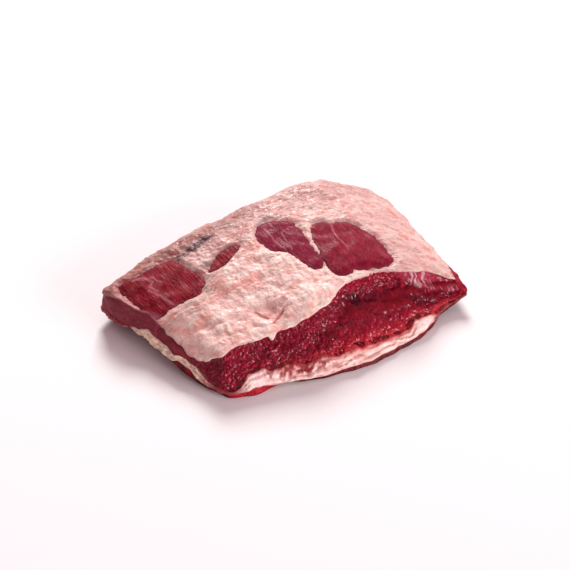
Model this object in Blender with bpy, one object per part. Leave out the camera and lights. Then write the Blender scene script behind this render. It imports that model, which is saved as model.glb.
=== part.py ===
"""A raw beef brisket: a slab of breast beef under a trimmed fat cap.

Four layers lie on each other. A thin sheet of lean is underneath, then a seam of fat, then the thick
lean muscle, and the fat cap on top. The cap is trimmed open in places, where the lean stands flush
with it. Every layer is a box bent to one shared slab form, so the layers keep one outline and the
front shows them as the knife left them.

+X runs along the slab, +Y from the cut front to the back, and +Z up. The slab lies on z = 0.
"""

import math

import bmesh
import bpy
import numpy as np
from mathutils import Matrix

MM = 0.001

# The plan's four edges at the bottom, in millimetres: u runs 0 to 1 from left to right, v from front to back
FRONT_EDGE_Y = (
    (0, -89), (0.05, -93), (0.1, -96), (0.22, -102), (0.35, -110), (0.45, -114), (0.55, -114), (0.7, -109),
    (0.82, -101), (0.9, -91), (1, -90),
)
BACK_EDGE_Y = ((0, 86), (0.15, 100), (0.4, 111), (0.7, 114), (1, 105))
LEFT_EDGE_X = (
    (0, -115), (0.1, -121), (0.2, -127), (0.33, -134), (0.45, -138), (0.6, -141), (0.8, -149), (1, -159),
)
RIGHT_EDGE_X = ((0, 149), (0.15, 156), (0.4, 161), (0.7, 166), (1, 168))

# Heights of the top along the front rim, the middle and the back rim
TOP_FRONT_Z = ((0, 38), (0.2, 44), (0.4, 52), (0.6, 57), (0.75, 52), (0.88, 42), (1, 27))
TOP_MIDDLE_Z = ((0, 39), (0.2, 53), (0.4, 64), (0.6, 68), (0.8, 58), (0.92, 44), (1, 32))
TOP_BACK_Z = (
    (0, 41), (0.2, 51), (0.36, 58), (0.5, 62), (0.6, 66), (0.67, 69.5), (0.74, 71.5), (0.81, 67), (0.86, 60),
    (0.92, 51), (1, 42),
)

# The cut front leans back: how far its rim lies behind its foot, and its belly, hollow and undercut
RIM_SETBACK = (
    (0, 24), (0.12, 32), (0.25, 34), (0.4, 45), (0.55, 60), (0.7, 56), (0.85, 34), (1, 18),
)
# The left end leans back too, most where the fat wraps over it
LEFT_SETBACK = ((0, 9), (0.1, 14), (0.2, 19), (0.35, 22), (0.45, 17), (0.6, 8), (0.75, 3), (1, 2))
BELLY_DEPTH = ((0, 1), (0.3, 2), (0.6, 5), (0.85, 3), (1, 1))
HOLLOW_DEPTH = ((0, 0), (0.3, 1), (0.55, 5), (0.85, 8), (1, 3))
UNDERCUT_DEPTH = ((0, 0), (0.12, 0), (0.2, 5), (0.3, 3), (0.42, 0), (1, 0))

# The left end and the right tip curl up off the table
LEFT_LIFT = (
    (0, 0), (0.12, 1), (0.2, 3), (0.3, 7), (0.42, 11), (0.55, 14), (0.68, 10.5), (0.85, 8), (1, 8),
)
LEFT_LIFT_REACH = 0.3
RIGHT_LIFT, RIGHT_LIFT_REACH = 12, 0.2

# How far each plan corner is pulled in, as a share of the half width
CORNER_PULL = {"front_left": 0.01, "front_right": 0.0, "back_right": 0.11, "back_left": 0.03}
CORNER_POWER = 6

# Rounding of the upper and lower edges
SHOULDER_START, FOOT_END = 0.75, 0.15
FRONT_ROLL, BACK_ROLL, LEFT_ROLL, RIGHT_ROLL = 1, 10, 3, 1.5
ROLL_POWER = 6
BACK_SLOPE, RIGHT_BULGE = 8, 4
FRONT_FOLD, SIDE_FOLD, BACK_FOLD = 3, 2, 4
EDGE_DIP, EDGE_DIP_REACH = 3, 0.1

# Borders between the layers, as shares of the slab's height
SEAM_TOP_FRONT = (
    (0, 0.18), (0.045, 0.22), (0.075, 0.42), (0.11, 0.44), (0.14, 0.41), (0.22, 0.415), (0.3, 0.385),
    (0.4, 0.33), (0.5, 0.3), (0.6, 0.265), (0.69, 0.25), (0.72, 0.26), (0.75, 0.335), (0.785, 0.335),
    (0.83, 0.21), (0.92, 0.18), (1, 0.24),
)
SEAM_TOP_BACK = ((0, 0.22), (0.5, 0.2), (1, 0.28))
SEAM_TOP_LEFT = (
    (0, 0.18), (0.11, 0.21), (0.156, 0.3), (0.2, 0.4), (0.3, 0.4), (0.345, 0.36), (0.43, 0.37), (0.52, 0.39),
    (0.6, 0.46), (0.66, 0.29), (0.72, 0.19), (1, 0.21),
)
SEAM_FOOT_FRONT = (
    (0, 0.13), (0.06, 0.15), (0.12, 0.14), (0.19, 0.08), (0.3, 0.06), (0.5, 0.06), (0.7, 0.07), (0.85, 0.1),
    (0.92, 0.12), (1, 0.16),
)
SEAM_FOOT_BACK = ((0, 0.1), (0.5, 0.08), (0.85, 0.09), (1, 0.16))
SEAM_FOOT_LEFT = (
    (0, 0.12), (0.15, 0.14), (0.2, 0.24), (0.25, 0.31), (0.31, 0.3), (0.36, 0.12), (0.43, 0.07), (0.6, 0.06),
    (0.7, 0.06), (1, 0.08),
)
LEFT_REACH = 0.06
CAP_THICKNESS, CAP_BACK_EXTRA = 5.5, 2.5
CAP_THINNING = {"front": 0.4, "left": 0.4, "right": 0.0}
CAP_THIN_REACH = 0.06
# The cap wraps down over the left end, by so many millimetres
CAP_WRAP = ((0, 2), (0.04, 5), (0.11, 11), (0.2, 14), (0.28, 10), (0.42, 6), (0.55, 0), (1, 0))
CAP_WRAP_REACH = 0.04
LAYER_GAP = 0.4

# Unevenness of the whole piece: slow swells and, on top of them, smaller lumps
SWELL_SIZE, SWELL_SCALE = 1.2, 17
LUMP_SIZE, LUMP_SCALE = 0.7, 6.5
UNEVEN_FADE_HEIGHT = 14

# A crease pressed into the fat: its place in plan, how deep it is and how wide
CREASE_PLACE, CREASE_DEPTH, CREASE_WIDTH = (-46, -44), 3.0, 12

# Where the cap is trimmed open, as outlines in plan, in millimetres
LEAN_PATCHES = {
    "left": (
        (-141, 65), (-136, 69), (-117, 67), (-94, 69), (-87, 66), (-83, 54), (-78, 40), (-75, 27),
        (-77, 20), (-83, 13), (-92, 10), (-102, 12), (-113, 13), (-125, 12), (-131, 15), (-134, 24),
        (-136, 35), (-140, 50),
    ),
    "middle": (
        (-7, 40), (-2, 48), (7, 55), (17, 53), (27, 48), (33, 40), (32, 25), (30, 12), (28, 0), (27, -12),
        (26, -22), (21, -28), (14, -26), (11, -16), (9, -6), (5, 4), (-1, 11), (-7, 24),
    ),
    "right": (
        (44, 22), (51, 27), (60, 27), (66, 22), (76, 23), (85, 18), (92, 7), (95, -12), (95, -29),
        (93, -43), (86, -49), (74, -49), (62, -46), (49, -44), (41, -46), (31, -44), (29, -32),
        (30, -20), (34, -8), (37, 6),
    ),
    "slit": ((-65, 28), (-57, 36), (-47, 42), (-36, 43), (-27, 42), (-33, 35), (-43, 30), (-53, 26)),
}
OUTLINE_STEPS = 3
PATCH_ROOT_DEPTH = 4
CUTTER_TOP, CUTTER_BOTTOM = 90, 4

# Cells along, across and through each layer
COLUMNS, ROWS = 26, 17
EDGE_CROWDING = 0.45

FAT_COLOUR = (0.80, 0.56, 0.49)
SEAM_FAT_COLOUR = (0.78, 0.52, 0.44)
LEAN_COLOUR = (0.30, 0.020, 0.030)
DARK_LEAN_COLOUR = (0.20, 0.015, 0.025)


def along(profile, t):
    """Reads a smooth curve through the profile's (place, value) pairs."""
    places = np.array([pair[0] for pair in profile], float)
    values = np.array([pair[1] for pair in profile], float)
    t = np.clip(t, places[0], places[-1])
    slopes = np.gradient(values, places)
    i = np.clip(np.searchsorted(places, t) - 1, 0, len(places) - 2)
    step = places[i + 1] - places[i]
    s = (t - places[i]) / step
    return (
        (2 * s**3 - 3 * s**2 + 1) * values[i]
        + (s**3 - 2 * s**2 + s) * step * slopes[i]
        + (3 * s**2 - 2 * s**3) * values[i + 1]
        + (s**3 - s**2) * step * slopes[i + 1]
    )


def hump(t, centre, width):
    return np.exp(-(((t - centre) / width) ** 2))


def quarter_round(t):
    """0 at t = 0 and 1 at t = 1, turning like a quarter of a circle."""
    return 1 - np.sqrt(1 - np.clip(t, 0, 1) ** 2)


def pull_corners(u, v):
    """Rounds the plan's corners: the further towards a corner, the more a place moves in."""
    pull = (1 - v) * ((1 - u) * CORNER_PULL["front_left"] + u * CORNER_PULL["front_right"])
    pull = pull + v * ((1 - u) * CORNER_PULL["back_left"] + u * CORNER_PULL["back_right"])
    s, t = 2 * u - 1, 2 * v - 1
    s, t = s * (1 - pull * np.abs(t) ** CORNER_POWER), t * (1 - pull * np.abs(s) ** CORNER_POWER)
    return (s + 1) / 2, (t + 1) / 2


def floor_height(u, v):
    left = along(LEFT_LIFT, v) * np.clip(1 - u / LEFT_LIFT_REACH, 0, 1) ** 2
    right = RIGHT_LIFT * np.clip(1 - (1 - u) / RIGHT_LIFT_REACH, 0, 1) ** 2
    return left + right


def top_height(u, v):
    """A curve from the front rim over the middle to the back rim, which dips at the very edge."""
    front, middle, back = (along(profile, u) for profile in (TOP_FRONT_Z, TOP_MIDDLE_Z, TOP_BACK_Z))
    return front * (2 * v - 1) * (v - 1) + middle * 4 * v * (1 - v) + back * v * (2 * v - 1)


def edge_dip(u, v):
    nearest = np.minimum(np.minimum(u, 1 - u), np.minimum(v, 1 - v))
    return EDGE_DIP * np.clip(1 - nearest / EDGE_DIP_REACH, 0, 1) ** 2


def waves(a, b, c):
    """Uneven waves between -1 and 1 over a place in radians."""
    slow = np.sin(a + 1.7 * np.sin(0.74 * b + 0.55 * c))
    return slow * np.cos(1.13 * b + 1.3 * np.sin(0.63 * a - 0.89 * c))


def uneven(a, b, c):
    swell = SWELL_SIZE * waves(a / SWELL_SCALE, b / SWELL_SCALE, c / SWELL_SCALE)
    return swell + LUMP_SIZE * waves(a / LUMP_SCALE, b / LUMP_SCALE, c / LUMP_SCALE)


def crease(x, y, w):
    away = np.hypot(x - CREASE_PLACE[0], y - CREASE_PLACE[1])
    return CREASE_DEPTH * w * np.exp(-((away / CREASE_WIDTH) ** 2))


def slab_point(u, v, w):
    """The place in millimetres for shares u along, v across and w up the slab."""
    u, v = pull_corners(u, v)
    shoulder = quarter_round((w - SHOULDER_START) / (1 - SHOULDER_START))
    foot = quarter_round(1 - w / FOOT_END)
    front = (
        along(FRONT_EDGE_Y, u)
        + along(RIM_SETBACK, u) * w
        + along(HOLLOW_DEPTH, u) * hump(w, 0.72, 0.14)
        - along(BELLY_DEPTH, u) * hump(w, 0.38, 0.2)
        + along(UNDERCUT_DEPTH, u) * np.clip(1 - w / 0.14, 0, 1)
    )
    back = along(BACK_EDGE_Y, u) - BACK_SLOPE * w
    left = along(LEFT_EDGE_X, v) + along(LEFT_SETBACK, v) * w**2
    right = along(RIGHT_EDGE_X, v) + RIGHT_BULGE * np.sin(math.pi * w)
    x = left + (right - left) * u
    x = x + (LEFT_ROLL * shoulder + SIDE_FOLD * foot) * (1 - u) ** ROLL_POWER
    x = x - (RIGHT_ROLL * shoulder + SIDE_FOLD * foot) * u**ROLL_POWER
    y = front + (back - front) * v
    y = y + (FRONT_ROLL * shoulder + FRONT_FOLD * foot) * (1 - v) ** ROLL_POWER
    y = y - (BACK_ROLL * shoulder + BACK_FOLD * foot) * v**ROLL_POWER
    low = floor_height(u, v)
    high = top_height(u, v) - edge_dip(u, v)
    z = low + w * (high - low)
    z = z - crease(x, y, w)
    lifted = np.clip(z / UNEVEN_FADE_HEIGHT, 0, 1)
    return np.stack(
        [
            x + uneven(y, z, x),
            y + uneven(z, x, y),
            z + lifted * uneven(x, y, z),
        ],
        axis=-1,
    )


def slab_thickness(u, v):
    return top_height(u, v) - floor_height(u, v)


def border(front_profile, back_profile, left_profile, u, v):
    """A border between layers that follows its line on the front, on the back and on the left end."""
    across = along(front_profile, u) * (1 - v) + along(back_profile, u) * v
    near_left = np.exp(-((u / LEFT_REACH) ** 2))
    return across + (along(left_profile, v) - across) * near_left


def seam_top(u, v):
    return border(SEAM_TOP_FRONT, SEAM_TOP_BACK, SEAM_TOP_LEFT, u, v)


def seam_foot(u, v):
    return border(SEAM_FOOT_FRONT, SEAM_FOOT_BACK, SEAM_FOOT_LEFT, u, v)


def thinned(distance, side):
    return 1 - CAP_THINNING[side] * np.exp(-distance / CAP_THIN_REACH)


def cap_foot(u, v):
    """The cap thins out towards the front, the left and the right, and wraps down over the left end."""
    thickness = CAP_THICKNESS + CAP_BACK_EXTRA * v
    thickness = thickness * thinned(v, "front") * thinned(u, "left") * thinned(1 - u, "right")
    thickness = thickness + along(CAP_WRAP, v) * np.exp(-u / CAP_WRAP_REACH)
    return 1 - thickness / slab_thickness(u, v)


def bottom_share(u, v):
    return np.zeros_like(u)


def top_share(u, v):
    return np.ones_like(u)


def patch_root(u, v):
    """A level inside the lean from which the patches rise through the cap."""
    return cap_foot(u, v) - PATCH_ROOT_DEPTH / slab_thickness(u, v)


def crowded(count):
    """Shares from 0 to 1 that lie closer together near both ends."""
    turns = [2 * math.pi * i / count for i in range(count + 1)]
    return [(turn - EDGE_CROWDING * math.sin(turn)) / (2 * math.pi) for turn in turns]


def sliced_box(levels):
    """A unit box from 0 to 1, sliced into columns, rows and levels."""
    box = bmesh.new()
    bmesh.ops.create_cube(box, size=1.0)
    bmesh.ops.translate(box, verts=box.verts, vec=(0.5, 0.5, 0.5))
    slices = (crowded(COLUMNS), crowded(ROWS), [i / levels for i in range(levels + 1)])
    for axis, places in enumerate(slices):
        normal = [0.0, 0.0, 0.0]
        normal[axis] = 1.0
        for place in places[1:-1]:
            at = [place * n for n in normal]
            everything = list(box.verts) + list(box.edges) + list(box.faces)
            bmesh.ops.bisect_plane(box, geom=everything, plane_co=at, plane_no=normal, dist=1e-7)
    split_cells(box)
    return box


def split_cells(box):
    """Splits every cell from its lowest to its highest corner, so that neighbours fold alike."""
    for face in list(box.faces):
        ends = [pick(face.verts, key=lambda vertex: sum(vertex.co)) for pick in (min, max)]
        bmesh.utils.face_split(face, *ends)


def material(name, colour, roughness):
    made = bpy.data.materials.new(name)
    made.use_nodes = True
    shader = made.node_tree.nodes["Principled BSDF"]
    shader.inputs["Base Color"].default_value = (*colour, 1.0)
    shader.inputs["Roughness"].default_value = roughness
    shader.inputs["Metallic"].default_value = 0.0
    made.diffuse_color = (*colour, 1.0)
    return made


def layer(name, lower, upper, levels, collection, finish, lower_gap=0.0, upper_gap=0.0):
    """A closed layer of the slab between two borders, kept clear of its neighbours by the gaps."""
    box = sliced_box(levels)
    shares = np.array([vertex.co[:] for vertex in box.verts], float)
    u, v, t = shares.T
    from_low = lower(u, v) + lower_gap / slab_thickness(u, v)
    from_high = upper(u, v) - upper_gap / slab_thickness(u, v)
    places = slab_point(u, v, from_low + t * (from_high - from_low)) * MM
    for vertex, place in zip(box.verts, places):
        vertex.co = place
    bmesh.ops.recalc_face_normals(box, faces=box.faces)
    mesh = bpy.data.meshes.new(name)
    box.to_mesh(mesh)
    box.free()
    mesh.materials.append(finish)
    mesh.shade_smooth()
    made = bpy.data.objects.new(name, mesh)
    collection.objects.link(made)
    return made


def smooth_outline(points, offset):
    """A closed smooth line through the points, moved outwards by offset."""
    corners = np.array(points, float)
    before, after = np.roll(corners, 1, axis=0), np.roll(corners, -1, axis=0)
    beyond = np.roll(corners, -2, axis=0)
    line = []
    for i in range(len(corners)):
        for k in range(OUTLINE_STEPS):
            t = k / OUTLINE_STEPS
            line.append(
                0.5
                * (
                    2 * corners[i]
                    + (after[i] - before[i]) * t
                    + (2 * before[i] - 5 * corners[i] + 4 * after[i] - beyond[i]) * t**2
                    + (3 * corners[i] - before[i] - 3 * after[i] + beyond[i]) * t**3
                )
            )
    line = np.array(line)
    ahead = np.roll(line, -1, axis=0) - np.roll(line, 1, axis=0)
    outwards = np.stack([ahead[:, 1], -ahead[:, 0]], axis=-1)
    outwards /= np.linalg.norm(outwards, axis=1)[:, None]
    area = np.sum(line[:, 0] * np.roll(line[:, 1], -1) - np.roll(line[:, 0], -1) * line[:, 1])
    return line + outwards * offset * (1 if area > 0 else -1)


def patch_prisms(name, offset, collection):
    """Upright prisms over all the patches' outlines, as one hidden cutter mesh."""
    curve = bpy.data.curves.new(name, "CURVE")
    curve.dimensions = "2D"
    curve.fill_mode = "BOTH"
    curve.extrude = (CUTTER_TOP - CUTTER_BOTTOM) * MM / 2
    for points in LEAN_PATCHES.values():
        outline = smooth_outline(points, offset) * MM
        spline = curve.splines.new("POLY")
        spline.points.add(len(outline) - 1)
        for point, (x, y) in zip(spline.points, outline):
            point.co = (x, y, 0.0, 1.0)
        spline.use_cyclic_u = True
    drawn = bpy.data.objects.new(name + "_outlines", curve)
    drawn.location.z = (CUTTER_TOP + CUTTER_BOTTOM) * MM / 2
    collection.objects.link(drawn)
    bpy.context.view_layer.update()
    solid = bpy.data.meshes.new_from_object(drawn.evaluated_get(bpy.context.evaluated_depsgraph_get()))
    shape = bmesh.new()
    shape.from_mesh(solid)
    bmesh.ops.remove_doubles(shape, verts=shape.verts, dist=1e-6)
    bmesh.ops.recalc_face_normals(shape, faces=shape.faces)
    bmesh.ops.translate(shape, verts=shape.verts, vec=drawn.location)
    shape.to_mesh(solid)
    shape.free()
    bpy.data.objects.remove(drawn)
    cutter = bpy.data.objects.new(name, solid)
    collection.objects.link(cutter)
    hide_helper(cutter)
    return cutter


def hide_helper(helper):
    helper.hide_render = True
    helper.display_type = "WIRE"


def boolean(target, other, operation):
    """Adds an exact Boolean and applies it."""
    modifier = target.modifiers.new(other.name, "BOOLEAN")
    modifier.operation = operation
    modifier.solver = "EXACT"
    modifier.object = other
    bpy.context.view_layer.update()
    result = bpy.data.meshes.new_from_object(target.evaluated_get(bpy.context.evaluated_depsgraph_get()))
    target.modifiers.clear()
    target.data = result


def open_patches(cap, lean, cutters, finish):
    """Trims the cap open over the patches and raises the lean flush with it there."""
    boolean(cap, patch_prisms("patch_windows", LAYER_GAP / 2, cutters), "DIFFERENCE")
    rise = layer("patch_rises", patch_root, top_share, 2, cutters, finish)
    boolean(rise, patch_prisms("patch_cores", -LAYER_GAP / 2, cutters), "INTERSECT")
    boolean(lean, rise, "UNION")
    hide_helper(rise)


def centre_in_plan(pieces):
    """Moves the pieces together so that the middle of their plan is over the origin."""
    corners = np.array([vertex.co[:2] for piece in pieces for vertex in piece.data.vertices])
    middle = (corners.min(axis=0) + corners.max(axis=0)) / 2
    for piece in pieces:
        piece.data.transform(Matrix.Translation((-middle[0], -middle[1], 0.0)))


def clear_scene():
    for old in list(bpy.data.objects):
        bpy.data.objects.remove(old)


def new_collection(name):
    made = bpy.data.collections.new(name)
    bpy.context.scene.collection.children.link(made)
    return made


def main():
    clear_scene()
    brisket = new_collection("brisket")
    cutters = new_collection("cutters")
    fat = material("fat", FAT_COLOUR, 0.45)
    seam_fat = material("seam_fat", SEAM_FAT_COLOUR, 0.45)
    lean_red = material("lean", LEAN_COLOUR, 0.35)
    dark_lean = material("dark_lean", DARK_LEAN_COLOUR, 0.35)
    half_gap = LAYER_GAP / 2
    layer("lower_lean", bottom_share, seam_foot, 1, brisket, dark_lean, upper_gap=half_gap)
    layer("seam_fat", seam_foot, seam_top, 2, brisket, seam_fat, lower_gap=half_gap, upper_gap=half_gap)
    lean = layer("lean", seam_top, cap_foot, 6, brisket, lean_red, lower_gap=half_gap, upper_gap=half_gap)
    cap = layer("fat_cap", cap_foot, top_share, 2, brisket, fat, lower_gap=half_gap)
    open_patches(cap, lean, cutters, lean_red)
    centre_in_plan(brisket.objects)


main()
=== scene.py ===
import itertools
import math

import bpy
import numpy as np
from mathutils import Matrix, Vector


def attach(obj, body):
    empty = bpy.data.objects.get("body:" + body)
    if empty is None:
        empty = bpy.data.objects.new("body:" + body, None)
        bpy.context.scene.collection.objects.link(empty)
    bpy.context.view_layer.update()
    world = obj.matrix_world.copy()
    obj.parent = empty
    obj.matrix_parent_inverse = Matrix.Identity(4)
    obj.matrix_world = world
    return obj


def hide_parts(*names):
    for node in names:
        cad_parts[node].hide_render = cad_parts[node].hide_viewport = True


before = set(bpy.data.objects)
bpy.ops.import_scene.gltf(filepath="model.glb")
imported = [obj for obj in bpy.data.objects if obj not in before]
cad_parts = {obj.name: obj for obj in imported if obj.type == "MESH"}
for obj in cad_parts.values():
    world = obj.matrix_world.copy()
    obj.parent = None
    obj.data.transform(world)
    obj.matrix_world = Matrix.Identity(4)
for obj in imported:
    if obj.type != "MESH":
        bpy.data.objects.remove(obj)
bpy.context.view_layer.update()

MM = 0.001
# The slab is worked out in millimetres about the place the camera looks at, then moved over the origin
PLAN_MIDDLE = (8.2725, 1.1156)
# The soft relief stands out a little; this keeps the whole within the solids' box
SHRINK = (0.989, 0.982, 0.995)

# The slab's form

FRONT_EDGE_Y = (
    (0, -89), (0.05, -93), (0.1, -96), (0.22, -102), (0.35, -110), (0.45, -114), (0.55, -114), (0.7, -109),
    (0.82, -101), (0.9, -91), (1, -90),
)
BACK_EDGE_Y = ((0, 86), (0.15, 100), (0.4, 111), (0.7, 114), (1, 105))
LEFT_EDGE_X = (
    (0, -115), (0.1, -121), (0.2, -127), (0.33, -134), (0.45, -138), (0.6, -141), (0.8, -149), (1, -159),
)
RIGHT_EDGE_X = ((0, 149), (0.15, 156), (0.4, 161), (0.7, 166), (1, 168))
TOP_FRONT_Z = ((0, 38), (0.2, 44), (0.4, 52), (0.6, 57), (0.75, 52), (0.88, 42), (1, 27))
TOP_MIDDLE_Z = ((0, 39), (0.2, 53), (0.4, 64), (0.6, 68), (0.8, 58), (0.92, 44), (1, 32))
TOP_BACK_Z = (
    (0, 41), (0.2, 51), (0.36, 58), (0.5, 62), (0.6, 66), (0.67, 69.5), (0.74, 71.5), (0.81, 67),
    (0.86, 60), (0.92, 51), (1, 42),
)
RIM_SETBACK = (
    (0, 24), (0.12, 32), (0.25, 34), (0.4, 45), (0.55, 60), (0.7, 56), (0.85, 34), (1, 18),
)
LEFT_SETBACK = ((0, 9), (0.1, 14), (0.2, 19), (0.35, 22), (0.45, 17), (0.6, 8), (0.75, 3), (1, 2))
BELLY_DEPTH = ((0, 1), (0.3, 2), (0.6, 5), (0.85, 3), (1, 1))
HOLLOW_DEPTH = ((0, 0), (0.3, 1), (0.55, 5), (0.85, 8), (1, 3))
UNDERCUT_DEPTH = ((0, 0), (0.12, 0), (0.2, 5), (0.3, 3), (0.42, 0), (1, 0))
# The heights that the front's hollow and belly lie at with their half widths, and the undercut's, as shares
HOLLOW_AT, BELLY_AT, UNDERCUT_REACH = (0.72, 0.14), (0.38, 0.2), 0.14
LEFT_LIFT = (
    (0, 0), (0.12, 1), (0.2, 3), (0.3, 7), (0.42, 11), (0.55, 14), (0.68, 10.5), (0.85, 8), (1, 8),
)
LEFT_LIFT_REACH = 0.3
RIGHT_LIFT, RIGHT_LIFT_REACH = 12, 0.2
CORNER_PULL = {"front_left": 0.01, "front_right": 0.0, "back_right": 0.11, "back_left": 0.03}
CORNER_POWER = 6
SHOULDER_START, FOOT_END = 0.75, 0.15
FRONT_ROLL, BACK_ROLL, LEFT_ROLL, RIGHT_ROLL = 1, 10, 3, 1.5
ROLL_POWER = 6
BACK_SLOPE, RIGHT_BULGE = 8, 4
FRONT_FOLD, SIDE_FOLD, BACK_FOLD = 3, 2, 4
EDGE_DIP, EDGE_DIP_REACH = 3, 0.1
SWELL_SIZE, SWELL_SCALE = 1.2, 17
LUMP_SIZE, LUMP_SCALE = 0.7, 6.5
UNEVEN_FADE_HEIGHT = 14
CREASE_PLACE, CREASE_DEPTH, CREASE_WIDTH = (-46, -44), 3.0, 12

# Borders between the layers, as shares of the slab's height
SEAM_TOP_FRONT = (
    (0, 0.18), (0.045, 0.22), (0.075, 0.42), (0.11, 0.44), (0.14, 0.41), (0.22, 0.415), (0.3, 0.385),
    (0.4, 0.33), (0.5, 0.3), (0.6, 0.265), (0.69, 0.25), (0.72, 0.26), (0.75, 0.335), (0.785, 0.335),
    (0.83, 0.21), (0.92, 0.18), (1, 0.24),
)
SEAM_TOP_BACK = ((0, 0.22), (0.5, 0.2), (1, 0.28))
SEAM_TOP_LEFT = (
    (0, 0.18), (0.11, 0.21), (0.156, 0.3), (0.2, 0.4), (0.3, 0.4), (0.345, 0.36), (0.43, 0.37),
    (0.52, 0.39), (0.6, 0.46), (0.66, 0.29), (0.72, 0.19), (1, 0.21),
)
SEAM_FOOT_FRONT = (
    (0, 0.13), (0.06, 0.15), (0.12, 0.14), (0.19, 0.08), (0.3, 0.06), (0.5, 0.06), (0.7, 0.07), (0.85, 0.1),
    (0.92, 0.12), (1, 0.16),
)
SEAM_FOOT_BACK = ((0, 0.1), (0.5, 0.08), (0.85, 0.09), (1, 0.16))
SEAM_FOOT_LEFT = (
    (0, 0.12), (0.15, 0.14), (0.2, 0.24), (0.25, 0.31), (0.31, 0.3), (0.36, 0.12), (0.43, 0.07),
    (0.6, 0.06), (0.7, 0.06), (1, 0.08),
)
LEFT_REACH = 0.06

# How thick the fat's edge is where it ends on the sides, in millimetres
FAT_EDGE_FRONT = (
    (0, 5), (0.02, 1.6), (0.05, 1.1), (0.08, 1), (0.12, 1.6), (0.17, 3), (0.184, 3.2), (0.19, 6),
    (0.195, 8), (0.2, 7), (0.208, 3.5), (0.25, 4.2), (0.31, 3), (0.4, 2.6), (0.48, 2.4), (0.52, 1),
    (0.65, 0.9), (0.75, 1.2), (0.85, 1.5), (0.95, 1), (1, 3),
)
FAT_EDGE_BACK = ((0, 10), (0.2, 7), (0.6, 8), (1, 7))
FAT_EDGE_LEFT = (
    (0, 5), (0.036, 8), (0.11, 15), (0.18, 17.5), (0.23, 18), (0.28, 14.5), (0.35, 12), (0.42, 10),
    (0.49, 7), (0.55, 3.5), (0.61, 1), (0.7, 0.9), (0.88, 0.9), (0.93, 3), (1, 10),
)
FAT_EDGE_RIGHT = ((0, 0.8), (0.2, 1), (0.35, 4), (1, 7))
FAT_THICKNESS, FAT_BACK_EXTRA = 5.5, 2.5

# Where the fat is trimmed open, as outlines in plan
LEAN_PATCHES = {
    "left": (
        (-141, 65), (-136, 69), (-117, 67), (-94, 69), (-87, 66), (-83, 54), (-78, 40), (-75, 27),
        (-77, 20), (-83, 13), (-92, 10), (-102, 12), (-113, 13), (-125, 12), (-131, 15), (-134, 24),
        (-136, 35), (-140, 50),
    ),
    "middle": (
        (-7, 40), (-2, 48), (7, 55), (17, 53), (27, 48), (33, 40), (32, 25), (30, 12), (28, 0), (27, -12),
        (26, -22), (21, -28), (14, -26), (11, -16), (9, -6), (5, 4), (-1, 11), (-7, 24),
    ),
    "right": (
        (44, 22), (51, 27), (60, 27), (66, 22), (76, 23), (85, 18), (92, 7), (95, -12), (95, -29),
        (93, -43), (86, -49), (74, -49), (62, -46), (49, -44), (41, -46), (31, -44), (29, -32), (30, -20),
        (34, -8), (37, 6),
    ),
    "slit": ((-65, 28), (-57, 36), (-47, 42), (-36, 43), (-27, 42), (-33, 35), (-43, 30), (-53, 26)),
}

# Cells along and across the slab, and through each layer from the lower lean up to the fat
COLUMNS, ROWS = 360, 250
LAYER_LEVELS = (4, 10, 46, 7)
LOWER, SEAM, LEAN, FAT = range(4)
BORDER_LEVELS = [sum(LAYER_LEVELS[:layer]) for layer in range(len(LAYER_LEVELS) + 1)]
LEVELS = BORDER_LEVELS[-1]
RING = 2 * (COLUMNS + ROWS)


def along(profile, t):
    """Reads a smooth curve through the profile's (place, value) pairs."""
    places = np.array([pair[0] for pair in profile], float)
    values = np.array([pair[1] for pair in profile], float)
    t = np.clip(t, places[0], places[-1])
    slopes = np.gradient(values, places)
    i = np.clip(np.searchsorted(places, t) - 1, 0, len(places) - 2)
    step = places[i + 1] - places[i]
    s = (t - places[i]) / step
    return (
        (2 * s**3 - 3 * s**2 + 1) * values[i]
        + (s**3 - 2 * s**2 + s) * step * slopes[i]
        + (3 * s**2 - 2 * s**3) * values[i + 1]
        + (s**3 - s**2) * step * slopes[i + 1]
    )


def hump(t, centre, width):
    return np.exp(-(((t - centre) / width) ** 2))


def smooth_step(low, high, value):
    t = np.clip((value - low) / (high - low), 0, 1)
    return t * t * (3 - 2 * t)


def quarter_round(t):
    """0 at t = 0 and 1 at t = 1, turning like a quarter of a circle."""
    return 1 - np.sqrt(1 - np.clip(t, 0, 1) ** 2)


def pull_corners(u, v):
    pull = (1 - v) * ((1 - u) * CORNER_PULL["front_left"] + u * CORNER_PULL["front_right"])
    pull = pull + v * ((1 - u) * CORNER_PULL["back_left"] + u * CORNER_PULL["back_right"])
    s, t = 2 * u - 1, 2 * v - 1
    s, t = s * (1 - pull * np.abs(t) ** CORNER_POWER), t * (1 - pull * np.abs(s) ** CORNER_POWER)
    return (s + 1) / 2, (t + 1) / 2


def floor_height(u, v):
    left = along(LEFT_LIFT, v) * np.clip(1 - u / LEFT_LIFT_REACH, 0, 1) ** 2
    right = RIGHT_LIFT * np.clip(1 - (1 - u) / RIGHT_LIFT_REACH, 0, 1) ** 2
    return left + right


def top_height(u, v):
    front, middle, back = (along(profile, u) for profile in (TOP_FRONT_Z, TOP_MIDDLE_Z, TOP_BACK_Z))
    return front * (2 * v - 1) * (v - 1) + middle * 4 * v * (1 - v) + back * v * (2 * v - 1)


def edge_dip(u, v):
    nearest = np.minimum(np.minimum(u, 1 - u), np.minimum(v, 1 - v))
    return EDGE_DIP * np.clip(1 - nearest / EDGE_DIP_REACH, 0, 1) ** 2


def waves(a, b, c):
    """Uneven waves between -1 and 1 over a place in radians."""
    bent = np.sin(a + 1.7 * np.sin(0.74 * b + 0.55 * c))
    return bent * np.cos(1.13 * b + 1.3 * np.sin(0.63 * a - 0.89 * c))


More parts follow.
